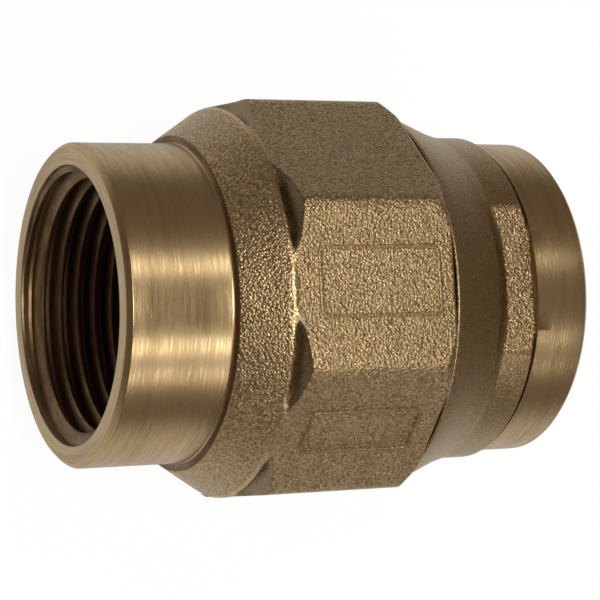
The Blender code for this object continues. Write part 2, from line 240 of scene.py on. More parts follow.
def finished(name: str, shape: bmesh.types.BMesh, materials: list[Material],
             sharp_degrees: float = 35.0) -> bpy.types.Object:
    """Turn a bmesh into a smooth-shaded object at the origin.

    Args:
        name: Name of the piece.
        shape: The modelled mesh, which is freed.
        materials: Material slots in order.
        sharp_degrees: Edges sharper than this stay crisp.

    Returns:
        The new object.
    """
    mesh = bpy.data.meshes.new(name)
    shape.to_mesh(mesh)
    shape.free()
    mesh.shade_smooth()
    mesh.set_sharp_from_angle(angle=math.radians(sharp_degrees))
    for material in materials:
        mesh.materials.append(material)
    piece = bpy.data.objects.new(name, mesh)
    bpy.context.scene.collection.objects.link(piece)
    return piece


@dataclass
class Graph:
    """Adds nodes to a tree and links them."""

    tree: bpy.types.NodeTree

    def add(self, kind: str, inputs: dict | None = None, **settings: object) -> bpy.types.Node:
        """Add a node.

        Args:
            kind: Node type.
            inputs: Values or output sockets for its inputs, by name or index.
            **settings: Node properties.

        Returns:
            The node.
        """
        node = self.tree.nodes.new(kind)
        for name, value in settings.items():
            setattr(node, name, value)
        for name, value in (inputs or {}).items():
            if isinstance(value, Socket):
                self.link(value, node.inputs[name])
            else:
                node.inputs[name].default_value = value
        return node

    def link(self, source: Socket, target: Socket) -> None:
        """Link an output socket to an input socket."""
        self.tree.links.new(source, target)

    def math(self, operation: str, *values: float | Socket) -> Socket:
        """Add a Math node and give its result."""
        return self.add("ShaderNodeMath", dict(enumerate(values)), operation=operation).outputs[0]

    def vector(self, operation: str, inputs: dict) -> bpy.types.Node:
        """Add a Vector Math node."""
        return self.add("ShaderNodeVectorMath", inputs, operation=operation)

    def noise(self, vector: Socket, scale: float, detail: float, roughness: float = 0.5) -> Socket:
        """Add a Noise Texture and give its value."""
        inputs = {"Vector": vector, "Scale": scale, "Detail": detail, "Roughness": roughness}
        return self.add("ShaderNodeTexNoise", inputs).outputs["Fac"]

    def spread(self, value: Socket, source: Point, target: Point = (0.0, 1.0)) -> Socket:
        """Map one range of a value to another, clamped."""
        inputs = dict(zip(("Value", "From Min", "From Max", "To Min", "To Max"), (value, *source, *target)))
        return self.add("ShaderNodeMapRange", inputs).outputs["Result"]

    def mix(self, share: Socket, first: Colour | Socket, second: Colour | Socket) -> Socket:
        """Mix two colours, given as values or sockets."""
        inputs = {"Factor": share, 6: first, 7: second}
        return self.add("ShaderNodeMix", inputs, data_type="RGBA").outputs[2]


def new_group(name: str, scale: str, outputs: list[str]) -> tuple[Graph, Socket, bpy.types.Node]:
    """Start a shader node group with plain number sockets.

    Args:
        name: Name of the group.
        scale: Name of its input.
        outputs: Names of its outputs.

    Returns:
        The graph inside the group, its input socket and its output node.
    """
    tree = bpy.data.node_groups.new(name, "ShaderNodeTree")
    tree.interface.new_socket(scale, in_out="INPUT", socket_type="NodeSocketFloat")
    for socket in outputs:
        tree.interface.new_socket(socket, in_out="OUTPUT", socket_type="NodeSocketFloat")
    graph = Graph(tree)
    return graph, graph.add("NodeGroupInput").outputs[scale], graph.add("NodeGroupOutput")


def make_turning_marks() -> bpy.types.NodeTree:
    """Build the group for the fine rings that a lathe tool leaves.

    Returns:
        A group whose rings follow the axis on a cylinder and the radius on an end face.
    """
    graph, lines, out = new_group("turning_marks", "Lines per metre", ["Height", "Streak", "Band"])
    place = graph.add("ShaderNodeTexCoord").outputs["Object"]
    parts = graph.add("ShaderNodeSeparateXYZ", {0: place}).outputs
    flat = graph.add("ShaderNodeCombineXYZ", {1: parts[1], 2: parts[2]}).outputs[0]
    radius = graph.vector("LENGTH", {0: flat}).outputs["Value"]
    way = graph.vector("NORMALIZE", {0: flat}).outputs[0]
    travel = graph.math("ADD", parts[0], radius)
    turn = graph.add("ShaderNodeSeparateXYZ", {0: way}).outputs

    def rings(share: float, around: float) -> Socket:
        """Give a place that runs fast across the rings and slowly along them.

        Args:
            share: How close the rings are, as a share of the lines.
            around: How fast they change round the axis.

        Returns:
            The place, for a noise.
        """
        across = graph.math("MULTIPLY", graph.math("MULTIPLY", travel, lines), share)
        side = graph.math("MULTIPLY", turn[1], around)
        rise = graph.math("MULTIPLY", turn[2], around)
        return graph.add("ShaderNodeCombineXYZ", {0: across, 1: side, 2: rise}).outputs[0]

    tool_marks = graph.noise(rings(share=1.0, around=2.2), scale=1.0, detail=3.0, roughness=0.6)
    streaks = graph.noise(rings(share=0.35, around=3.5), scale=1.0, detail=4.0, roughness=0.65)
    bands = graph.noise(rings(share=0.05, around=1.2), scale=1.0, detail=2.0)
    graph.link(tool_marks, out.inputs["Height"])
    graph.link(streaks, out.inputs["Streak"])
    graph.link(bands, out.inputs["Band"])
    return graph.tree


def make_blast_grain() -> bpy.types.NodeTree:
    """Build the group for the pebbled skin of a shot-blasted casting.

    Returns:
        A group with the grain's height, a finer speckle and broad patches.
    """
    pebble_share = -0.8
    patches_per_metre = 130.0
    graph, grains, out = new_group("blast_grain", "Grains per metre", ["Height", "Speckle", "Patch"])
    place = graph.add("ShaderNodeTexCoord").outputs["Object"]
    grain = graph.vector("SCALE", {0: place, "Scale": grains}).outputs[0]
    fine = graph.noise(grain, scale=1.5, detail=2.0, roughness=0.55)
    pebbles = graph.add(
        "ShaderNodeTexVoronoi", {"Vector": grain, "Scale": 1.0, "Smoothness": 0.4}, feature="SMOOTH_F1")
    height = graph.math("MULTIPLY_ADD", pebbles.outputs["Distance"], pebble_share, fine)
    speckle = graph.noise(grain, scale=1.2, detail=2.0, roughness=0.6)
    patches = graph.noise(place, scale=patches_per_metre, detail=4.0, roughness=0.6)
    graph.link(height, out.inputs["Height"])
    graph.link(speckle, out.inputs["Speckle"])
    graph.link(patches, out.inputs["Patch"])
    return graph.tree


@dataclass(frozen=True)
class Finish:
    """A surface finish that makes its own material from a shared effect group."""

    name: str

    def start(self, effect: bpy.types.NodeTree, per_metre: float) -> tuple[Material, Graph, bpy.types.Node]:
        """Start a material with the effect in it.

        Args:
            effect: The shared group.
            per_metre: How many of its lines or grains are in a metre.

        Returns:
            The material, its graph and the node of the effect.
        """
        material = bpy.data.materials.new(self.name)
        material.use_nodes = True
        graph = Graph(material.node_tree)
        return material, graph, graph.add("ShaderNodeGroup", {0: per_metre}, node_tree=effect)

    def complete(self, graph: Graph, colour: Socket, roughness: Socket, bump: dict, metallic: float) -> None:
        """Link what the effect gives to the shader.

        Args:
            graph: The graph of the material.
            colour: Colour over the surface.
            roughness: Roughness over the surface.
            bump: Inputs of the bump.
            metallic: Metallic value all over.
        """
        shader = graph.tree.nodes["Principled BSDF"]
        shader.inputs["Metallic"].default_value = metallic
        graph.link(colour, shader.inputs["Base Color"])
        graph.link(roughness, shader.inputs["Roughness"])
        graph.link(graph.add("ShaderNodeBump", bump).outputs[0], shader.inputs["Normal"])


@dataclass(frozen=True)
class CastBrass(Finish):
    """Shot-blasted cast brass, with sparkling grain, painted shade in the pits between its pebbles and faint
    tarnish.
    """

    dark: Colour = (0.31, 0.214, 0.111, 1.0)
    light: Colour = (0.73, 0.53, 0.287, 1.0)
    tarnish: Colour = (0.38, 0.28, 0.155, 1.0)
    grains_per_metre: float = 3300.0
    depth: float = 0.109 * MM
    pit_shade_range: Point = (-0.1, 0.4)
    tarnish_range: Point = (0.48, 0.74)
    tarnish_share: Point = (0.0, 0.55)
    speckle_range: Point = (0.3, 0.7)
    roughness: Point = (0.36, 0.22)

    def build(self, grain: bpy.types.NodeTree) -> Material:
        """Make the material.

        Args:
            grain: The shared grain group.

        Returns:
            The material.
        """
        material, graph, skin = self.start(grain, self.grains_per_metre)
        pebbles = skin.outputs["Height"]
        # The colour darkens in the pits between pebbles: painted shade in the grain's hollows.
        metal = graph.mix(graph.spread(pebbles, self.pit_shade_range), self.dark, self.light)
        stain = graph.spread(skin.outputs["Patch"], self.tarnish_range, self.tarnish_share)
        rough = graph.spread(skin.outputs["Speckle"], self.speckle_range, self.roughness)
        bump = {"Strength": 1.0, "Distance": self.depth, "Height": pebbles}
        self.complete(graph, graph.mix(stain, metal, self.tarnish), rough, bump, metallic=1.0)
        return material


@dataclass(frozen=True)
class TurnedBrass(Finish):
    """Lathe-turned brass, satin, with fine rings and warm streaks."""

    dark: Colour = (0.44, 0.305, 0.16, 1.0)
    light: Colour = (0.66, 0.49, 0.27, 1.0)
    stain: Colour = (0.37, 0.25, 0.13, 1.0)
    lines_per_metre: float = 14000.0
    depth: float = 0.012 * MM
    streak_range: Point = (0.3, 0.72)
    band_range: Point = (0.5, 0.75)
    band_share: Point = (0.0, 0.6)
    polish_range: Point = (0.3, 0.7)
    roughness: Point = (0.36, 0.23)

    def build(self, marks: bpy.types.NodeTree) -> Material:
        """Make the material.

        Args:
            marks: The shared turning group.

        Returns:
            The material.
        """
        material, graph, rings = self.start(marks, self.lines_per_metre)
        streaks = rings.outputs["Streak"]
        metal = graph.mix(graph.spread(streaks, self.streak_range), self.dark, self.light)
        band = graph.spread(rings.outputs["Band"], self.band_range, self.band_share)
        rough = graph.spread(streaks, self.polish_range, self.roughness)
        bump = {"Strength": 1.0, "Distance": self.depth, "Height": rings.outputs["Height"]}
        self.complete(graph, graph.mix(band, metal, self.stain), rough, bump, metallic=1.0)
        return material


@dataclass(frozen=True)
class Moulded(Finish):
    """Moulded plastic, fibre or rubber, with a fine skin and faint mottling."""

    light: Colour
    dark: Colour
    roughness: Point
    grains_per_metre: float = 5000.0
    depth: float = 0.02 * MM
    bump_strength: float = 0.6
    mottle_range: Point = (0.3, 0.7)

    def build(self, grain: bpy.types.NodeTree) -> Material:
        """Make the material.

        Args:
            grain: The shared grain group.

        Returns:
            The material.
        """
        material, graph, skin = self.start(grain, self.grains_per_metre)
        mottle = graph.spread(skin.outputs["Patch"], self.mottle_range)
        rough = graph.spread(skin.outputs["Speckle"], self.mottle_range, self.roughness)
        bump = {"Strength": self.bump_strength, "Distance": self.depth, "Height": skin.outputs["Height"]}
        self.complete(graph, graph.mix(mottle, self.light, self.dark), rough, bump, metallic=0.0)
        return material


@dataclass
class Finishes:
    """All finishes of the valve, built once."""

    cast: Material = field(init=False)
    neck: Material = field(init=False)
    worn_highlight: Material = field(init=False)
    pocket: Material = field(init=False)
    turned: Material = field(init=False)
    bore: Material = field(init=False)
    fitting: Material = field(init=False)
    wire: Material = field(init=False)
    rubber: Material = field(init=False)
    fibre: Material = field(init=False)
    guide: Material = field(init=False)
    bush: Material = field(init=False)

    def __post_init__(self) -> None:
        """Build the shared groups and every material."""
        marks = make_turning_marks()
        grain = make_blast_grain()
        self.cast = CastBrass("blasted_cast_brass").build(grain)
        # Smoother, darker brass for the cap's neck; on the flats' borders its darker tone is painted shade
        # that outlines them.
        self.neck = CastBrass(
            "smooth_cast_brass_and_border_shade", dark=(0.34, 0.235, 0.12, 1.0), light=(0.54, 0.385, 0.205, 1.0),
            tarnish=(0.38, 0.255, 0.13, 1.0), grains_per_metre=4400.0, depth=0.045 * MM).build(grain)
        # Lighter, smoother brass on the rim's ridge: rubbed wear, with a painted highlight in its lighter
        # colour.
        self.worn_highlight = CastBrass(
            "rubbed_highlight_cast_brass", dark=(0.45, 0.322, 0.17, 1.0), light=(0.78, 0.585, 0.325, 1.0),
            tarnish=(0.46, 0.335, 0.185, 1.0), depth=0.055 * MM).build(grain)
        # Dark brass for the recessed pockets behind the rim: painted shade.
        self.pocket = CastBrass(
            "pocket_shade_cast_brass", dark=(0.22, 0.165, 0.098, 1.0), light=(0.37, 0.28, 0.168, 1.0),
            tarnish=(0.25, 0.19, 0.113, 1.0), grains_per_metre=4400.0, depth=0.045 * MM).build(grain)
        self.turned = TurnedBrass("turned_collar_brass").build(marks)
        # Darker brass for the bores, the collar's groove and the cap's step: painted shade.
        self.bore = TurnedBrass(
            "shaded_bore_brass", dark=(0.15, 0.095, 0.052, 1.0), light=(0.34, 0.225, 0.125, 1.0),
            stain=(0.10, 0.06, 0.033, 1.0), lines_per_metre=6000.0, roughness=(0.55, 0.4)).build(marks)
        self.fitting = TurnedBrass(
            "turned_poppet_brass", dark=(0.48, 0.33, 0.16, 1.0), light=(0.70, 0.52, 0.28, 1.0),
            stain=(0.42, 0.28, 0.13, 1.0)).build(marks)
        self.wire = TurnedBrass(
            "drawn_steel_wire", dark=(0.40, 0.40, 0.41, 1.0), light=(0.62, 0.62, 0.63, 1.0),
            stain=(0.35, 0.34, 0.33, 1.0), depth=0.004 * MM, roughness=(0.3, 0.2)).build(marks)
        self.rubber = Moulded(
            "black_seal_rubber", light=(0.035, 0.035, 0.036, 1.0), dark=(0.018, 0.018, 0.019, 1.0),
            roughness=(0.55, 0.75)).build(grain)
        self.fibre = Moulded(
            "joint_fibre", light=(0.045, 0.042, 0.04, 1.0), dark=(0.02, 0.019, 0.018, 1.0),
            roughness=(0.7, 0.9), grains_per_metre=3500.0, depth=0.06 * MM).build(grain)
        self.guide = Moulded(
            "moulded_guide_plastic", light=(0.72, 0.70, 0.64, 1.0), dark=(0.60, 0.58, 0.52, 1.0),
            roughness=(0.4, 0.55)).build(grain)
        self.bush = Moulded(
            "smooth_bush_plastic", light=(0.86, 0.86, 0.84, 1.0), dark=(0.78, 0.78, 0.76, 1.0),
            roughness=(0.3, 0.42)).build(grain)

    def brass(self) -> list[Material]:
        """Give the brass finishes in the order of Zone."""
        return [self.cast, self.turned, self.bore, self.neck, self.worn_highlight, self.pocket]


@dataclass
class PipeThread:
    """Internal pipe thread: a helical ridge in a socket, trimmed by the countersink and a run-out."""

    name: str
    mouth: float
    inward: int
    turned_length: float = 15.2 * MM
    major: float = 16.62 * MM
    minor: float = 15.15 * MM
    pitch: float = 2.309 * MM
    flat: float = 0.385 * MM
    crest_break: float = 0.1 * MM
    break_outside: float = 0.05 * MM
    break_inside: float = 0.08 * MM
    sunk: float = 0.15 * MM
    countersink: float = 16.7 * MM
    cone_gap: float = 0.05 * MM
    first_depth: float = 0.35 * MM
    run_out: float = 1.6 * MM
    steps_per_turn: int = 96
    weld: float = 0.0005 * MM

    @property
    def cone_depth(self) -> float:
        """Depth at which the countersink meets the thread's roots."""
        return self.countersink - self.major + self.cone_gap

    def section(self) -> list[Point]:
        """Give the ridge's section, about the middle of its crest.

        Returns:
            Offsets along the axis and radii.
        """
        foot = (self.pitch - self.flat) / 2.0
        crest = self.flat / 2.0
        flank = [
            (foot, self.major + self.sunk),
            (foot, self.major),
            (crest + self.break_outside, self.minor + self.crest_break),
            (crest - self.break_inside, self.minor)]
        return [(-offset, radius) for offset, radius in flank] + flank[::-1]

    def build(self, material: Material) -> bpy.types.Object:
        """Sweep the ridge and trim its ends.

        Args:
            material: Finish of the bore.

        Returns:
            The ridge, as one closed solid.
        """
        start = self.mouth - self.inward * self.pitch / 2.0
        section = [(start + offset, radius) for offset, radius in self.section()]
        turns = math.ceil((self.turned_length + self.pitch / 2.0) / self.pitch)
        step = self.inward * self.pitch / self.steps_per_turn
        shape = bmesh.new()
        bmesh.ops.spin(
            shape, geom=loop_of(shape, section), cent=(0.0, 0.0, 0.0), axis=(1.0, 0.0, 0.0),
            dvec=(step, 0.0, 0.0), angle=self.inward * math.tau * turns, steps=turns * self.steps_per_turn)
        open_edges = [edge for edge in shape.edges if edge.is_boundary]
        bmesh.ops.holes_fill(shape, edges=open_edges, sides=len(section))
        for vert in shape.verts:
            self.trim(vert)
        bmesh.ops.remove_doubles(shape, verts=shape.verts, dist=self.weld)
        bmesh.ops.recalc_face_normals(shape, faces=shape.faces)
        return finished(self.name, shape, [material])

    def trim(self, vert: bmesh.types.BMVert) -> None:
        """Keep the ridge out of the countersink and let its last turn run out.

        Args:
            vert: A vertex of the ridge, which is moved.
        """
        station, radius, angle = polar(vert.co)
        depth = (station - self.mouth) * self.inward
        wall = self.major + self.sunk
        cone = self.countersink - depth + self.cone_gap
        run_out = wall - (self.turned_length - depth) / self.run_out * (wall - self.minor)
        depth = min(max(depth, self.first_depth), self.turned_length)
        vert.co.x = along(self.mouth + self.inward * depth)
        set_polar(vert, min(max(radius, cone, run_out), wall), angle)


@dataclass
class BareBorder:
    """Plain raised border cast on a wrench flat, with nothing inside it."""

    name: str
    turn: float
    apothem: float
    centre: Point
    size: Point
    line: float = 0.5 * MM
    height: float = 0.19 * MM
    corner: float = 1.1 * MM
    edge_round: float = 0.09 * MM
    sunk: float = 0.1 * MM
    rim_turn: float = 0.5
    sharp_degrees: float = 60.0

    def build(self, material: Material) -> bpy.types.Object:
        """Inset a rounded rectangle, keep its rim and raise it.

        Args:
            material: Finish of the casting.

        Returns:
            The border, sunk a little into its flat.
        """
        shape = bmesh.new()
        bmesh.ops.create_grid(shape, x_segments=1, y_segments=1, size=0.5)
        bmesh.ops.scale(shape, vec=(*self.size, 1.0), verts=shape.verts)
        bmesh.ops.bevel(
            shape, geom=shape.verts[:], offset=self.corner, offset_type="OFFSET", affect="VERTICES",
            segments=8, profile=0.5, material=-1)
        inset = bmesh.ops.inset_region(
            shape, faces=shape.faces[:], thickness=self.line, use_even_offset=True, use_boundary=True)
        inner = [face for face in shape.faces if face not in inset["faces"]]
        bmesh.ops.delete(shape, geom=inner, context="FACES")
        raised = bmesh.ops.extrude_face_region(shape, geom=shape.faces[:], use_keep_orig=True)["geom"]
        top = [item for item in raised if isinstance(item, bmesh.types.BMVert)]
        bmesh.ops.translate(shape, vec=(0.0, 0.0, self.height + self.sunk), verts=top)
        rims = [edge for edge in shape.edges if self.is_rim(edge, top)]
        bmesh.ops.bevel(
            shape, geom=rims, offset=self.edge_round, offset_type="OFFSET", affect="EDGES", segments=3,
            profile=0.5, material=-1)
        bmesh.ops.recalc_face_normals(shape, faces=shape.faces)
        lift = Matrix.Translation((along(self.centre[0]), self.centre[1], self.apothem - self.sunk))
        bmesh.ops.transform(shape, matrix=Matrix.Rotation(self.turn, 4, "X") @ lift, verts=shape.verts)
        return finished(self.name, shape, [material], self.sharp_degrees)

    def is_rim(self, edge: bmesh.types.BMEdge, top: list[bmesh.types.BMVert]) -> bool:
        """Tell if an edge lies between the raised top and a wall.

        Args:
            edge: An edge of the border.
            top: Vertices of the raised top.

        Returns:
            Whether it does.
        """
        if len(edge.link_faces) != 2 or not all(vert in top for vert in edge.verts):
            return False
        first, second = edge.link_faces
        return abs(first.normal.z - second.normal.z) > self.rim_turn


@dataclass
class ValveBody:
    """Cast body: turned outlet collar, conical shoulder, round rim and octagonal barrel."""

    collar: float = 19.32 * MM
    edge: float = 0.6 * MM
    mouth_round: float = 0.08 * MM
    face_round: float = 0.12 * MM
    edge_round: float = 0.18 * MM
    collar_end: float = 13.1 * MM
    collar_fillet: float = 0.45 * MM
    lip: float = 20.35 * MM
    lip_lean: float = 0.1 * MM
    lip_round: float = 0.2 * MM
    rim_station: float = 18.4 * MM
    rim: float = 23.8 * MM
    rim_round: float = 1.7 * MM
    barrel_end: float = 39.35 * MM
    cap_bore: float = 20.3 * MM
    cap_bore_start: float = 31.0 * MM
    cap_bore_step: float = 0.5 * MM
    cap_chamfer: float = 0.7 * MM
    chamber: float = 19.8 * MM
    chamber_start: float = 17.5 * MM
    chamber_round: float = 0.6 * MM
    throat: float = 15.0 * MM
    throat_length: float = 1.5 * MM
    throat_round: float = 0.25 * MM
    thread_relief: float = 0.5 * MM

    flat_step: float = 0.2 * MM
    corner_trim: float = 0.15 * MM
    corner_round: float = 0.3 * MM
    shoulder_start: float = 19.2 * MM
    shoulder_slope: float = 2.0
    shoulder_round: float = 0.15 * MM
    pocket: float = 0.8 * MM
    pocket_leans: Point = (math.radians(5.0), math.radians(16.0))
    rim_fall: float = 1.2
    fall_start: float = 0.1 * MM
    rim_blend: float = 0.2 * MM
    end_radius: float = 24.4 * MM
    end_slope: float = 1.33
    end_round: float = 0.12 * MM
    end_break: float = 0.2 * MM

    steps: int = 448
    corner_crowding: float = 0.6
    skin: float = 4.5 * MM
    shaped_skin: float = 1.5 * MM
    shaped_lead: float = 0.5 * MM
    close_lead: float = 1.0 * MM
    close_length: float = 3.0 * MM
    plain_spacing: float = 3.0 * MM
    skin_spacing: float = 0.8 * MM
    shaped_spacing: float = 0.18 * MM
    break_spacing: float = 0.06 * MM

    # Reach and radii of the groove between collar and lip that takes the darker bore brass as painted shade.
    groove_shade_reach: float = 0.4 * MM
    groove_shade_radii: Point = (0.15 * MM, 0.1 * MM)
    # Reach, facing and depth of the recessed pockets that take dark brass as painted shade.
    pocket_shade_reach: Point = (0.2 * MM, 1.6 * MM)
    pocket_shade_facing: float = -0.35
    pocket_shade_depth: float = 0.2 * MM
    # Reach of the rim's ridge that takes lighter brass: wear with a painted highlight.
    worn_highlight_reach: float = 0.5 * MM

    top_border: tuple[Point, Point] = ((29.6 * MM, 0.25 * MM), (16.0 * MM, 8.4 * MM))
    side_border: tuple[Point, Point] = ((29.4 * MM, 0.0), (14.6 * MM, 6.6 * MM))
    side_line: float = 0.4 * MM
    side_height: float = 0.16 * MM
    thread: PipeThread = field(init=False)
    apothem: float = field(init=False)

    def __post_init__(self) -> None:
        """Size the outlet's thread and read the distance from the axis to the flats off the frame."""
        self.thread = PipeThread("outlet_thread", mouth=0.0, inward=1)
        self.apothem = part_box("valve_body")[1].z

    def section(self) -> list[Point]:
        """Give the turned section, from the outlet mouth along the outside and back through the bore.

        Returns:
            Stations and radii along the section.
        """
        throat_start = self.chamber_start - self.throat_length
        corners = [
            (0.0, self.thread.countersink, self.mouth_round),
            (0.0, self.collar - self.edge, self.face_round),
            (self.edge, self.collar, self.edge_round),
            (self.collar_end, self.collar, self.collar_fillet),
            (self.collar_end + self.lip_lean, self.lip, self.lip_round),
            (self.rim_station, self.rim, self.rim_round),
            (self.barrel_end, self.rim, 0.0),
            (self.barrel_end, self.cap_bore + self.cap_chamfer, 0.0),
            (self.barrel_end - self.cap_chamfer, self.cap_bore, 0.0),
            (self.cap_bore_start, self.cap_bore, 0.0),
            (self.cap_bore_start - self.cap_bore_step, self.chamber, 0.0),
            (self.chamber_start, self.chamber, self.chamber_round),
            (self.chamber_start, self.throat, self.throat_round),
            (throat_start, self.throat, 0.0),
            (throat_start - self.thread_relief, self.thread.major, 0.0),
            (self.thread.cone_depth, self.thread.major, 0.0)]
        return refined(rounded_outline(corners), self.spacing)

    def spacing(self, station: float, radius: float) -> float:
        """Choose how close the section's points are.

        Args:
            station: Distance from the outlet mouth.
            radius: Distance from the axis.

        Returns:
            The longest run, which is short where the barrel's ends are shaped.
        """
        if radius < self.rim - self.skin or station < self.collar_end:
            return self.plain_spacing
        if station > self.barrel_end - self.end_break:
            return self.break_spacing
        past_cone = station > self.rim_station - self.close_lead
        at_rim = past_cone and station < self.shoulder_start + self.close_length
        at_end = station > self.barrel_end - self.close_length
        return self.shaped_spacing if at_rim or at_end else self.skin_spacing

    def barrel_radius(self, station: float, turned: float, angle: float) -> float:
        """Give the outer radius of the barrel where it grows out of the turned rim.

        Args:
            station: Distance from the outlet mouth.
            turned: Radius of the turned section there.
            angle: Angle from the top.

        Returns:
            The radius of the cast octagon, with its soft corners and turned end chamfer.
        """
        lean = angle - round(angle / SECTOR) * SECTOR
        resting = abs(abs(angle) - math.pi) < SECTOR / 2.0
        flat = self.apothem - (0.0 if resting else self.flat_step)
        corner = flat / math.cos(SECTOR / 2.0) - self.corner_trim
        octagon = soft_min(flat / math.cos(lean), corner, self.corner_round)
        beside = ramp(abs(lean), *self.pocket_leans)
        begin = self.rim_station + (self.shoulder_start - self.rim_station) * beside
        shoulder = self.rim - self.pocket * beside + (station - begin) * self.shoulder_slope
        fall = self.rim_fall * self.flat_step + self.pocket * beside
        faded = turned - ramp(station, self.rim_station + self.fall_start, self.shoulder_start) * fall
        grown = soft_max(faded, soft_min(octagon, shoulder, self.shoulder_round), self.rim_blend)
        grown = min(grown, self.apothem / math.cos(lean))
        chamfer = self.end_radius + (self.barrel_end - station) / self.end_slope
        rolled = max(station - self.barrel_end + self.end_break, 0.0)
        drop = self.end_break - math.sqrt(max(self.end_break ** 2 - rolled ** 2, 0.0))
        return soft_min(grown, chamfer, self.end_round) - drop

    def crowd(self, angle: float) -> float:
        """Move an angle towards the nearest corner of the octagon, where the facets should be small.

        Args:
            angle: Angle from the top.

        Returns:
            The moved angle.
        """
        nearest = round(angle / SECTOR) * SECTOR
        share = (angle - nearest) / (SECTOR / 2.0)
        share += self.corner_crowding * math.sin(math.pi * share) / math.pi
        return nearest + share * SECTOR / 2.0

    def zone(self, station: float, radius: float, normal: Vector) -> Zone:
        """Tell which finish a face has.

        Args:
            station: Distance of its middle from the outlet mouth.
            radius: Distance of its middle from the axis.
            normal: Its normal.

        Returns:
            The finish.
        """
        # The bore and the groove between collar and lip take the darker bore brass: painted shade.
        past_throat = station > self.chamber_start - self.throat_length
        inside = radius < self.thread.countersink or (past_throat and radius < self.lip)
        in_shaded_corner = self.collar + self.groove_shade_radii[0] < radius < self.lip - self.groove_shade_radii[1]
        if inside or (in_shaded_corner and abs(station - self.collar_end) < self.groove_shade_reach):
            return Zone.SHADED_BORE
        if station < self.collar_end or station > self.barrel_end - self.end_break:
            return Zone.TURNED
        # Recessed faces behind the rim take dark brass: painted shade.
        past_rim, past_shoulder = self.pocket_shade_reach
        behind_rim = self.rim_station + past_rim < station < self.shoulder_start + past_shoulder
        if behind_rim and (normal.x < self.pocket_shade_facing or radius < self.rim - self.pocket_shade_depth):
            return Zone.SHADED_POCKET
        # The rim's ridge takes lighter brass: wear with a painted highlight.
        return Zone.WORN_HIGHLIGHT if abs(station - self.rim_station) < self.worn_highlight_reach else Zone.CAST

    def build(self, finishes: Finishes) -> list[bpy.types.Object]:
        """Model the body, its thread and its bare borders.

        Args:
            finishes: The valve's finishes.

        Returns:
            The pieces, the body first.
        """
        shape = spun(self.section(), self.steps)
        for vert in shape.verts:
            station, radius, angle = polar(vert.co)
            angle = self.crowd(angle)
            if station > self.rim_station - self.shaped_lead and radius > self.rim - self.shaped_skin:
                radius = self.barrel_radius(station, radius, angle)
            set_polar(vert, radius, angle)
        assign_zones(shape, self.zone)
        body = finished("body_casting", shape, finishes.brass())
        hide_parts("valve_body")
        flat = self.apothem - self.flat_step
        top = BareBorder("top_flat_border", 0.0, flat, *self.top_border)
        side = BareBorder(
            "side_flat_border", SECTOR, flat, *self.side_border, line=self.side_line, height=self.side_height)
        # The borders take the darker, smoother neck brass, so they read as dark lines on the grain: painted
        # shade.
        pieces = [body, self.thread.build(finishes.bore), top.build(finishes.neck), side.build(finishes.neck)]
        return pieces


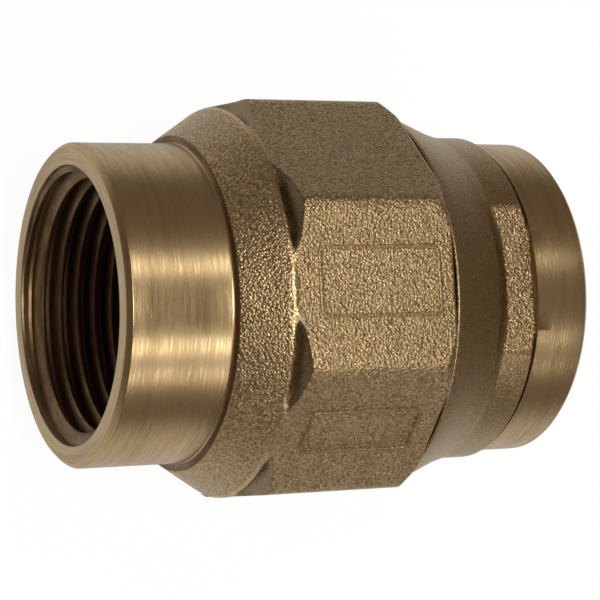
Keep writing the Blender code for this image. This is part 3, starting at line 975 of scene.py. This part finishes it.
@dataclass
class EndCap:
    """Screwed end cap: seat and spigot inside, neck, two wrench flats and turned inlet collar outside."""

    collar: float = 19.68 * MM
    edge: float = 0.6 * MM
    mouth_round: float = 0.08 * MM
    face_round: float = 0.12 * MM
    edge_round: float = 0.18 * MM
    socket: float = 15.0 * MM
    socket_depth: float = 16.0 * MM
    thread_relief: float = 0.5 * MM
    seat: float = 12.2 * MM
    seat_bore_round: float = 0.3 * MM
    seat_face: float = 32.6 * MM
    seat_lip: float = 13.6 * MM
    seat_round: float = 0.15 * MM
    nose: float = 33.2 * MM
    nose_chamfer: float = 0.6 * MM
    spigot: float = 20.0 * MM
    flange: float = 23.75 * MM
    flange_start: float = 39.65 * MM
    flange_round: float = 0.25 * MM
    recess: float = 22.5 * MM
    recess_end: float = 41.0 * MM
    neck_middle: Point = (43.7 * MM, 22.05 * MM)
    neck_round: float = 5.0 * MM
    neck_end: Point = (47.2 * MM, 20.6 * MM)
    root: float = 18.0 * MM
    root_start: float = 49.4 * MM
    step_lean: float = 0.02 * MM

    band: float = 20.42 * MM
    band_end: float = 53.1 * MM
    band_chamfer: float = 0.75 * MM
    chamfer_slope: float = 1.3
    flats: float = 36.7 * MM
    flat_round: float = 0.25 * MM
    least_cosine: float = 0.05
    neck_blend: float = 1.2 * MM
    turn: float = math.radians(1.7)

    steps: int = 384
    shaped_start: float = 45.0 * MM
    shaped_spacing: float = 0.16 * MM
    plain_spacing: float = 2.0 * MM
    past_band: float = 0.1 * MM

    # Edge of the recess, and reach and facing of the step at the band's end, which take the darker bore brass
    # as painted shade.
    recess_edge: float = 0.05 * MM
    step_shade_reach: float = 0.03 * MM
    step_shade_facing: float = -0.5
    collar_lead: float = 0.01 * MM
    flat_facing: float = 0.99
    thread: PipeThread = field(init=False)

    def __post_init__(self) -> None:
        """Size the inlet's thread."""
        self.thread = PipeThread("inlet_thread", mouth=self.length, inward=-1)

    @property
    def length(self) -> float:
        """Station of the inlet mouth."""
        return CAD_HIGH.x - CAD_LOW.x

    def section(self) -> list[Point]:
        """Give the turned section, from the flange along the outside to the mouth and back inside.

        Returns:
            Stations and radii along the section.
        """
        mouth = self.length
        bottom = mouth - self.socket_depth
        corners = [
            (self.flange_start, self.recess, 0.0),
            (self.flange_start, self.flange, self.flange_round),
            (*self.neck_middle, self.neck_round),
            (*self.neck_end, 0.0),
            (self.root_start, self.root, 0.0),
            (self.band_end - self.step_lean, self.root, 0.0),
            (self.band_end, self.collar, 0.0),
            (mouth - self.edge, self.collar, self.edge_round),
            (mouth, self.collar - self.edge, self.face_round),
            (mouth, self.thread.countersink, self.mouth_round),
            (mouth - self.thread.cone_depth, self.thread.major, 0.0),
            (bottom + self.thread_relief, self.thread.major, 0.0),
            (bottom, self.socket, 0.0),
            (bottom, self.seat, self.seat_bore_round),
            (self.seat_face, self.seat, self.seat_round),
            (self.seat_face, self.seat_lip, self.seat_round),
            (self.nose, self.seat_lip, 0.0),
            (self.nose, self.spigot - self.nose_chamfer, 0.0),
            (self.nose + self.nose_chamfer, self.spigot, 0.0),
            (self.recess_end, self.spigot, 0.0),
            (self.recess_end, self.recess, 0.0)]
        return refined(rounded_outline(corners), self.spacing)

    def spacing(self, station: float, radius: float) -> float:
        """Choose how close the section's points are.

        Args:
            station: Distance from the outlet mouth.
            radius: Distance from the axis.

        Returns:
            The longest run, which is short where the wrench flats are shaped.
        """
        outside = radius > self.thread.countersink
        shaped = outside and self.shaped_start < station < self.band_end + self.past_band
        return self.shaped_spacing if shaped else self.plain_spacing

    def wrench_radius(self, station: float, turned: float, angle: float) -> float:
        """Give the outer radius along the neck and the wrench band.

        Args:
            station: Distance from the outlet mouth.
            turned: Radius of the turned section there.
            angle: Angle from the top.

        Returns:
            The radius of the cast band with its two flats, blended into the neck.
        """
        band = self.band - max(station - self.band_end + self.band_chamfer, 0.0) * self.chamfer_slope
        cosine = max(abs(math.cos(angle - self.turn)), self.least_cosine)
        held = soft_min(band, self.flats / 2.0 / cosine, self.flat_round)
        return soft_max(turned, held, self.neck_blend)

    def zone(self, station: float, radius: float, normal: Vector) -> Zone:
        """Tell which finish a face has.

        Args:
            station: Distance of its middle from the outlet mouth.
            radius: Distance of its middle from the axis.
            normal: Its normal.

        Returns:
            The finish.
        """
        # The cap's inside, its recess and the step at the band's end take the darker bore brass: painted
        # shade.
        in_recess = station < self.recess_end and radius < self.recess - self.recess_edge
        inside = radius < self.thread.countersink or station < self.flange_start or in_recess
        step = abs(station - self.band_end) < self.step_shade_reach and normal.x < self.step_shade_facing
        if inside or step:
            return Zone.SHADED_BORE
        if station > self.band_end - self.collar_lead:
            return Zone.TURNED
        facing = abs(normal.z * math.cos(self.turn) + normal.y * math.sin(self.turn))
        return Zone.CAST if facing > self.flat_facing else Zone.NECK

    def build(self, finishes: Finishes) -> list[bpy.types.Object]:
        """Model the cap and its thread.

        Args:
            finishes: The valve's finishes.

        Returns:
            The pieces, the cap first.
        """
        shape = spun(self.section(), self.steps)
        for vert in shape.verts:
            station, radius, angle = polar(vert.co)
            if self.shaped_start < station < self.band_end and radius > self.thread.countersink:
                set_polar(vert, self.wrench_radius(station, radius, angle), angle)
        assign_zones(shape, self.zone)
        cap = finished("cap_casting", shape, finishes.brass())
        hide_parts("end_cap")
        pieces = [cap, self.thread.build(finishes.bore)]
        return pieces


@dataclass
class ClosingSpring:
    """Helical spring between the guide's hub and the poppet's disc."""

    wire: float = 0.9 * MM
    radius: float = 5.6 * MM
    turns: float = 5.5
    end_turns: float = 1.0
    end_pitch: float = 1.4 * MM
    points_per_turn: int = 36
    wire_rounding: int = 3
    sharp_degrees: float = 50.0
    joint: str = "poppet_slide"

    def route(self) -> list[Vector]:
        """Lay the wire, with close end turns and open turns between.

        Returns:
            The points along the wire.
        """
        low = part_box("closing_spring")[0].x + self.wire / 2.0
        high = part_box("closing_spring")[1].x - self.wire / 2.0
        open_length = high - low - 2.0 * self.end_turns * self.end_pitch
        open_pitch = open_length / (self.turns - 2.0 * self.end_turns)
        count = round(self.turns * self.points_per_turn)
        points = []
        for index in range(count + 1):
            turned = self.turns * index / count
            first = min(turned, self.end_turns)
            last = max(turned - self.turns + self.end_turns, 0.0)
            rise = (first + last) * self.end_pitch + (turned - first - last) * open_pitch
            spoke = Matrix.Rotation(math.tau * turned, 3, "X") @ Vector((0.0, 0.0, -self.radius))
            points.append(Vector((low + rise, spoke.y, spoke.z)))
        return points

    def build(self, finishes: Finishes) -> bpy.types.Object:
        """Wind the wire and attach it to the housing.

        Args:
            finishes: The valve's finishes.

        Returns:
            The spring, as a mesh.
        """
        route = self.route()
        curve = bpy.data.curves.new("spring_wire", "CURVE")
        curve.dimensions = "3D"
        curve.bevel_depth = self.wire / 2.0
        curve.bevel_resolution = self.wire_rounding
        curve.use_fill_caps = True
        spline = curve.splines.new("POLY")
        spline.points.add(len(route) - 1)
        for spline_point, point in zip(spline.points, route):
            spline_point.co = (*point, 1.0)
        guide = bpy.data.objects.new("spring_wire", curve)
        shape = bmesh.new()
        shape.from_mesh(guide.to_mesh())
        guide.to_mesh_clear()
        bpy.data.objects.remove(guide)
        bmesh.ops.remove_doubles(shape, verts=shape.verts, dist=WELD)
        bmesh.ops.recalc_face_normals(shape, faces=shape.faces)
        spring = finished("wound_spring", shape, [finishes.wire], self.sharp_degrees)
        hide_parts("closing_spring")
        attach(spring, HOUSING)
        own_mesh(spring)
        return spring


@dataclass
class InnerParts:
    """Inner pieces whose solids are right as they are and only need a finish."""

    finishes: Finishes

    def dress(self) -> None:
        """Give each inner node its finish."""
        chosen = {
            "body_gasket": self.finishes.fibre,
            "stem_guide": self.finishes.guide,
            "guide_bush": self.finishes.bush,
            "poppet_stem": self.finishes.fitting,
            "poppet_disc": self.finishes.fitting,
            "disc_seal": self.finishes.rubber,
            "seal_retainer": self.finishes.fitting,
            "lock_washer": self.finishes.wire,
            "stem_nut": self.finishes.fitting,
        }
        for node, material in chosen.items():
            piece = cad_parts[node]
            piece.data.materials.clear()
            piece.data.materials.append(material)
            LOG.info("dressed %s with %s", node, material.name)


@dataclass(frozen=True)
class SoftBox:
    """A soft lamp that hangs over the valve, leaning from the front flat and shifted along the axis."""

    name: str
    lean_degrees: float
    shift: float
    size: Point
    power: float
    colour: tuple[float, float, float] = (1.0, 0.99, 0.94)
    distance: float = 0.5


@dataclass
class Studio:
    """Floor, lamps and camera."""

    axis_lean: float = math.radians(26.07)
    axis_rise: float = math.radians(1.19)
    flat_turn: float = math.radians(5.02)
    mouth_in_view: tuple[float, float, float] = (-27.54 * MM, -0.675 * MM, -274.44 * MM)
    focal_pixels: float = 2317.4
    image_pixels: float = 600.0
    sensor: float = 36.0
    clip: Point = (0.01, 20.0)
    floor_radius: float = 1.2
    floor_grey: Colour = (0.66, 0.66, 0.66, 1.0)
    floor_roughness: float = 0.9
    glow_colour: Colour = (1.0, 1.0, 1.0, 1.0)
    glow_reach: Point = (0.08, 0.22)
    glow_strength: Point = (1.06, 0.12)
    glow_share: float = 0.9
    mirrored_share: float = 0.33
    room: Colour = (0.165, 0.134, 0.106, 1.0)
    boxes: tuple[SoftBox, ...] = (
        SoftBox("upper_soft_box", lean_degrees=26.0, shift=0.097, size=(0.32, 0.06), power=0.26),
        SoftBox("lower_soft_box", lean_degrees=-29.0, shift=0.097, size=(0.32, 0.05), power=0.315),
        SoftBox("side_soft_box", lean_degrees=-49.4, shift=0.097, size=(0.32, 0.035), power=0.175),
        SoftBox("near_soft_box", lean_degrees=0.0, shift=-0.085, size=(0.11, 0.14), power=1.0,
                colour=(1.0, 0.99, 0.95)),
    )

    def build(self) -> None:
        """Set up the floor, the lamps, the surroundings and the camera."""
        scene = bpy.context.scene
        scene.view_settings.view_transform = "Standard"
        self.make_floor()
        self.make_surroundings(scene)
        for box in self.boxes:
            self.make_box(box, scene)
        self.make_camera(scene)

    def make_floor(self) -> None:
        """Lay a white floor under the valve, whose painted glow dims towards its edge like a pool of light.
        """
        shape = bmesh.new()
        bmesh.ops.create_circle(shape, cap_ends=True, segments=96, radius=self.floor_radius)
        bmesh.ops.translate(shape, vec=(0.0, 0.0, CAD_LOW.z), verts=shape.verts)
        material = bpy.data.materials.new("white_floor")
        material.use_nodes = True
        graph = Graph(material.node_tree)
        shader = material.node_tree.nodes["Principled BSDF"]
        shader.inputs["Base Color"].default_value = self.floor_grey
        shader.inputs["Roughness"].default_value = self.floor_roughness
        place = graph.add("ShaderNodeTexCoord").outputs["Object"]
        away = graph.vector("LENGTH", {0: place}).outputs["Value"]
        strength = graph.spread(away, self.glow_reach, self.glow_strength)
        glow = graph.add("ShaderNodeEmission", {"Color": self.glow_colour, "Strength": strength})
        path = graph.add("ShaderNodeLightPath").outputs
        mirrored = graph.math("MAXIMUM", path["Is Glossy Ray"], path["Is Transmission Ray"])
        mirrored = graph.math("MULTIPLY", mirrored, self.mirrored_share)
        seen = graph.math("MAXIMUM", path["Is Camera Ray"], mirrored)
        share = graph.math("MULTIPLY", seen, self.glow_share)
        mixed = graph.add("ShaderNodeMixShader", {0: share, 1: shader.outputs[0], 2: glow.outputs[0]})
        graph.link(mixed.outputs[0], material.node_tree.nodes["Material Output"].inputs["Surface"])
        finished("studio_floor", shape, [material])

    def make_surroundings(self, scene: bpy.types.Scene) -> None:
        """Light the room evenly and dimly.

        Args:
            scene: The scene that gets the world.
        """
        world = bpy.data.worlds.new("studio_room")
        world.use_nodes = True
        world.node_tree.nodes["Background"].inputs["Color"].default_value = self.room
        scene.world = world

    def make_box(self, box: SoftBox, scene: bpy.types.Scene) -> None:
        """Hang one soft lamp, facing the valve.

        Args:
            box: The lamp.
            scene: The scene that it hangs in.
        """
        lean = math.radians(box.lean_degrees)
        toward = Vector((0.0, -math.sin(self.flat_turn), math.cos(self.flat_turn)))
        up = Vector((0.0, math.cos(self.flat_turn), math.sin(self.flat_turn)))
        place = (toward * math.cos(lean) + up * math.sin(lean)) * box.distance
        place.x += box.shift
        lamp = bpy.data.lights.new(box.name, "AREA")
        lamp.shape = "RECTANGLE"
        lamp.size, lamp.size_y = box.size
        lamp.energy = box.power
        lamp.color = box.colour
        holder = bpy.data.objects.new(box.name, lamp)
        back = place.normalized()
        side = Vector((1.0, 0.0, 0.0))
        side = (side - back * side.dot(back)).normalized()
        rotation = Matrix((side, back.cross(side), back)).transposed()
        holder.matrix_world = Matrix.Translation(place) @ rotation.to_4x4()
        scene.collection.objects.link(holder)

    def make_camera(self, scene: bpy.types.Scene) -> None:
        """Stand the camera where the photograph was taken from.

        Args:
            scene: The scene that it looks at.
        """
        lean, rise, turn = self.axis_lean, self.axis_rise, self.flat_turn
        axis_x = Vector((math.cos(lean) * math.cos(rise), math.cos(lean) * math.sin(rise), -math.sin(lean)))
        toward = Vector((math.sin(lean), 0.0, math.cos(lean)))
        toward = (toward - axis_x * toward.dot(axis_x)).normalized()
        up = toward.cross(axis_x)
        axis_z = toward * math.cos(turn) + up * math.sin(turn)
        axis_y = axis_z.cross(axis_x)
        rotation = Matrix((axis_x, axis_y, axis_z))
        mouth = Vector((CAD_LOW.x, 0.0, 0.0))
        camera = bpy.data.cameras.new("photo_camera")
        camera.sensor_width = self.sensor
        camera.lens = self.focal_pixels / self.image_pixels * self.sensor
        camera.clip_start, camera.clip_end = self.clip
        holder = bpy.data.objects.new("photo_camera", camera)
        place = mouth - rotation @ Vector(self.mouth_in_view)
        holder.matrix_world = Matrix.Translation(place) @ rotation.to_4x4()
        scene.collection.objects.link(holder)
        scene.camera = holder


def main() -> None:
    """Build the valve's pieces, dress the inner ones and set up the studio."""
    logging.basicConfig(level=logging.INFO, format="%(name)s: %(message)s")
    finishes = Finishes()
    Studio().build()
    for piece in [*ValveBody().build(finishes), *EndCap().build(finishes)]:
        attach(piece, HOUSING)
        LOG.info("built %s with %d faces", piece.name, len(piece.data.polygons))
    spring = ClosingSpring().build(finishes)
    LOG.info("built %s with %d faces", spring.name, len(spring.data.polygons))
    InnerParts(finishes).dress()


if __name__ == "__main__":
    main()
